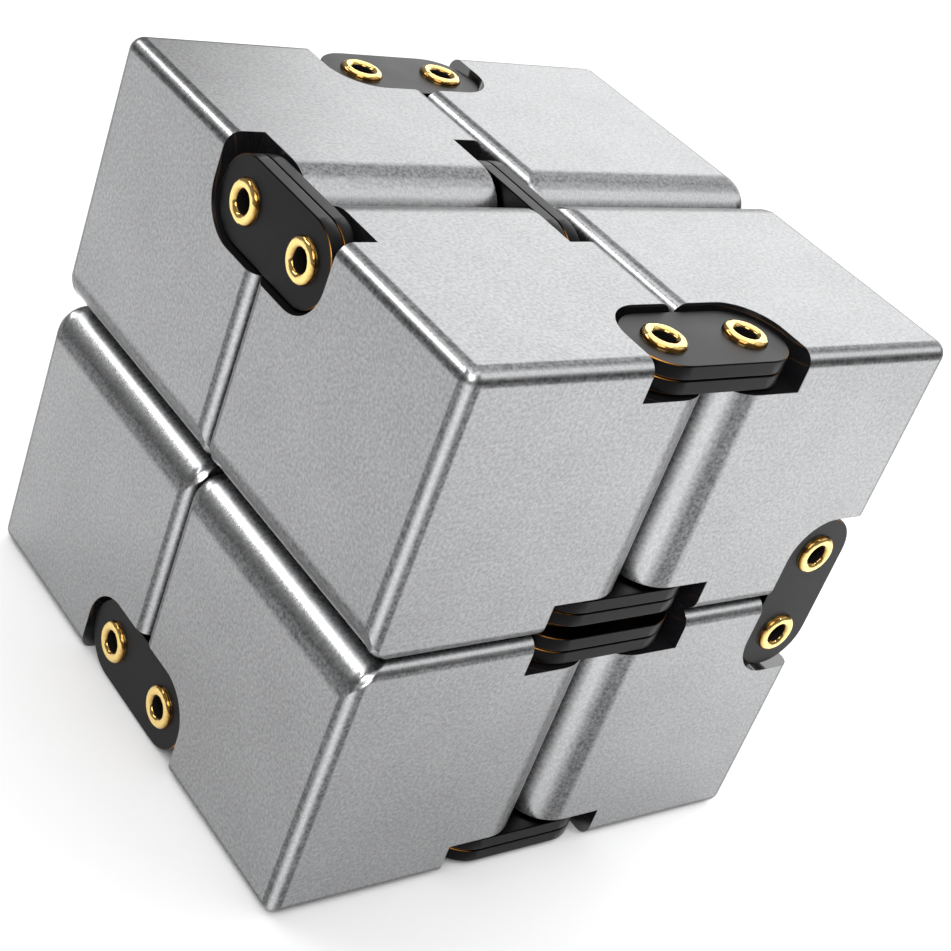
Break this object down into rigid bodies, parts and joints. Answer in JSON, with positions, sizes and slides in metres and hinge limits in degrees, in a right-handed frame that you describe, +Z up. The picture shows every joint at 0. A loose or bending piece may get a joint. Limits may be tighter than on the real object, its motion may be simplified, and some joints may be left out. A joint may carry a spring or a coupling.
{
  "type": "infinity cube",
  "caption": "Folding fidget cube: a closed ring of aluminium blocks joined by double-pivot hinges, folding endlessly through itself in one hand.",
  "frame": {"origin": "centre of the underside of the closed cube", "axes": "+Z up; -Y out of the front face, with the two front hinges on its upright seam; +X out of the right face"},
  "size_m": [0.04, 0.04, 0.04],
  "materials": {
    "blocks": "bead-blasted, satin silver, with smooth dark pockets",
    "link_plates": "black coating, satin",
    "hollow_pins": "polished gold"
  },
  "bodies": {
    "front_left_lower_block": {"front_left_lower_block": "blocks"},
    "front_right_lower_block": {"front_right_lower_block": "blocks"},
    "back_left_lower_block": {"back_left_lower_block": "blocks"},
    "back_right_lower_block": {"back_right_lower_block": "blocks"},
    "front_left_upper_block": {"front_left_upper_block": "blocks", "top_hinge_front_pin": "hollow_pins"},
    "front_right_upper_block": {"front_right_upper_block": "blocks"},
    "back_left_upper_block": {"back_left_upper_block": "blocks"},
    "back_right_upper_block": {"back_right_upper_block": "blocks"},
    "front_lower_link": {"front_lower_hinge_left_pin": "hollow_pins", "front_lower_hinge_right_pin": "hollow_pins", "front_lower_hinge_lower_inner_plate": "link_plates", "front_lower_hinge_lower_outer_plate": "link_plates", "front_lower_hinge_upper_inner_plate": "link_plates", "front_lower_hinge_upper_outer_plate": "link_plates"},
    "front_upper_link": {"front_upper_hinge_left_pin": "hollow_pins", "front_upper_hinge_right_pin": "hollow_pins", "front_upper_hinge_lower_inner_plate": "link_plates", "front_upper_hinge_lower_outer_plate": "link_plates", "front_upper_hinge_upper_inner_plate": "link_plates", "front_upper_hinge_upper_outer_plate": "link_plates"},
    "back_lower_link": {"back_lower_hinge_left_pin": "hollow_pins", "back_lower_hinge_right_pin": "hollow_pins", "back_lower_hinge_lower_inner_plate": "link_plates", "back_lower_hinge_lower_outer_plate": "link_plates", "back_lower_hinge_upper_inner_plate": "link_plates", "back_lower_hinge_upper_outer_plate": "link_plates"},
    "back_upper_link": {"back_upper_hinge_left_pin": "hollow_pins", "back_upper_hinge_right_pin": "hollow_pins", "back_upper_hinge_lower_inner_plate": "link_plates", "back_upper_hinge_lower_outer_plate": "link_plates", "back_upper_hinge_upper_inner_plate": "link_plates", "back_upper_hinge_upper_outer_plate": "link_plates"},
    "right_front_link": {"right_front_hinge_lower_pin": "hollow_pins", "right_front_hinge_upper_pin": "hollow_pins", "right_front_hinge_front_inner_plate": "link_plates", "right_front_hinge_front_outer_plate": "link_plates", "right_front_hinge_back_inner_plate": "link_plates", "right_front_hinge_back_outer_plate": "link_plates"},
    "right_back_link": {"right_back_hinge_lower_pin": "hollow_pins", "right_back_hinge_upper_pin": "hollow_pins", "right_back_hinge_front_inner_plate": "link_plates", "right_back_hinge_front_outer_plate": "link_plates", "right_back_hinge_back_inner_plate": "link_plates", "right_back_hinge_back_outer_plate": "link_plates"},
    "bottom_link": {"bottom_hinge_front_pin": "hollow_pins", "bottom_hinge_back_pin": "hollow_pins", "bottom_hinge_left_inner_plate": "link_plates", "bottom_hinge_left_outer_plate": "link_plates", "bottom_hinge_right_inner_plate": "link_plates", "bottom_hinge_right_outer_plate": "link_plates"},
    "top_link": {"top_hinge_back_pin": "hollow_pins", "top_hinge_left_eyelet": "hollow_pins", "top_hinge_right_eyelet": "hollow_pins", "top_hinge_left_inner_plate": "link_plates", "top_hinge_left_outer_plate": "link_plates", "top_hinge_right_inner_plate": "link_plates", "top_hinge_right_outer_plate": "link_plates"}
  },
  "joints": [
    {"name": "front_fold", "type": "hinge", "parent": "front_left_lower_block", "child": "front_lower_link", "pos_m": [-0.0034, -0.01695, 0.00995], "axis": [0, 0, -1], "range_deg": [0, 90]},
    {"name": "front_lower_right_pivot", "type": "hinge", "parent": "front_lower_link", "child": "front_right_lower_block", "pos_m": [0.0034, -0.01695, 0.00995], "axis": [0, 0, -1], "range_deg": [0, 90]},
    {"name": "front_upper_right_pivot", "type": "hinge", "parent": "front_right_upper_block", "child": "front_upper_link", "pos_m": [0.0034, -0.01695, 0.03005], "axis": [0, 0, 1], "range_deg": [0, 90]},
    {"name": "front_upper_left_pivot", "type": "hinge", "parent": "front_upper_link", "child": "front_left_upper_block", "pos_m": [-0.0034, -0.01695, 0.03005], "axis": [0, 0, 1], "range_deg": [0, 90]},
    {"name": "top_opening", "type": "hinge", "parent": "front_right_lower_block", "child": "right_front_link", "pos_m": [0.01695, -0.01005, 0.0166], "axis": [0, 1, 0], "range_deg": [0, 90]},
    {"name": "right_front_upper_pivot", "type": "hinge", "parent": "right_front_link", "child": "front_right_upper_block", "pos_m": [0.01695, -0.01005, 0.0234], "axis": [0, 1, 0], "range_deg": [0, 90]},
    {"name": "right_back_lower_pivot", "type": "hinge", "parent": "back_right_lower_block", "child": "right_back_link", "pos_m": [0.01695, 0.01005, 0.0166], "axis": [0, 1, 0], "range_deg": [0, 90]},
    {"name": "right_back_upper_pivot", "type": "hinge", "parent": "right_back_link", "child": "back_right_upper_block", "pos_m": [0.01695, 0.01005, 0.0234], "axis": [0, 1, 0], "range_deg": [0, 90]},
    {"name": "bottom_fold", "type": "hinge", "parent": "front_left_lower_block", "child": "bottom_link", "pos_m": [-0.01005, -0.0034, 0.00305], "axis": [-1, 0, 0], "range_deg": [0, 90]},
    {"name": "bottom_back_pivot", "type": "hinge", "parent": "bottom_link", "child": "back_left_lower_block", "pos_m": [-0.01005, 0.0034, 0.00305], "axis": [-1, 0, 0], "range_deg": [0, 90]},
    {"name": "top_back_pivot", "type": "hinge", "parent": "back_left_upper_block", "child": "top_link", "pos_m": [-0.01005, 0.0034, 0.03695], "axis": [-1, 0, 0], "range_deg": [0, 90]},
    {"name": "back_fold", "type": "hinge", "parent": "back_left_lower_block", "child": "back_lower_link", "pos_m": [-0.0034, 0.01695, 0.00995], "axis": [0, 0, 1], "range_deg": [0, 90]},
    {"name": "back_lower_right_pivot", "type": "hinge", "parent": "back_lower_link", "child": "back_right_lower_block", "pos_m": [0.0034, 0.01695, 0.00995], "axis": [0, 0, 1], "range_deg": [0, 90]},
    {"name": "back_upper_right_pivot", "type": "hinge", "parent": "back_right_upper_block", "child": "back_upper_link", "pos_m": [0.0034, 0.01695, 0.03005], "axis": [0, 0, -1], "range_deg": [0, 90]},
    {"name": "back_upper_left_pivot", "type": "hinge", "parent": "back_upper_link", "child": "back_left_upper_block", "pos_m": [-0.0034, 0.01695, 0.03005], "axis": [0, 0, -1], "range_deg": [0, 90]}
  ],
  "couplings": [
    {"joint": "front_lower_right_pivot", "follows": "front_fold", "ratio": 1},
    {"joint": "front_upper_right_pivot", "follows": "front_fold", "ratio": 1},
    {"joint": "front_upper_left_pivot", "follows": "front_fold", "ratio": 1},
    {"joint": "back_lower_right_pivot", "follows": "back_fold", "ratio": 1},
    {"joint": "back_upper_right_pivot", "follows": "back_fold", "ratio": 1},
    {"joint": "back_upper_left_pivot", "follows": "back_fold", "ratio": 1},
    {"joint": "right_front_upper_pivot", "follows": "top_opening", "ratio": 1},
    {"joint": "right_back_lower_pivot", "follows": "top_opening", "ratio": 1},
    {"joint": "right_back_upper_pivot", "follows": "top_opening", "ratio": 1},
    {"joint": "bottom_back_pivot", "follows": "bottom_fold", "ratio": 1},
    {"joint": "top_back_pivot", "follows": "bottom_fold", "ratio": 1}
  ]
}
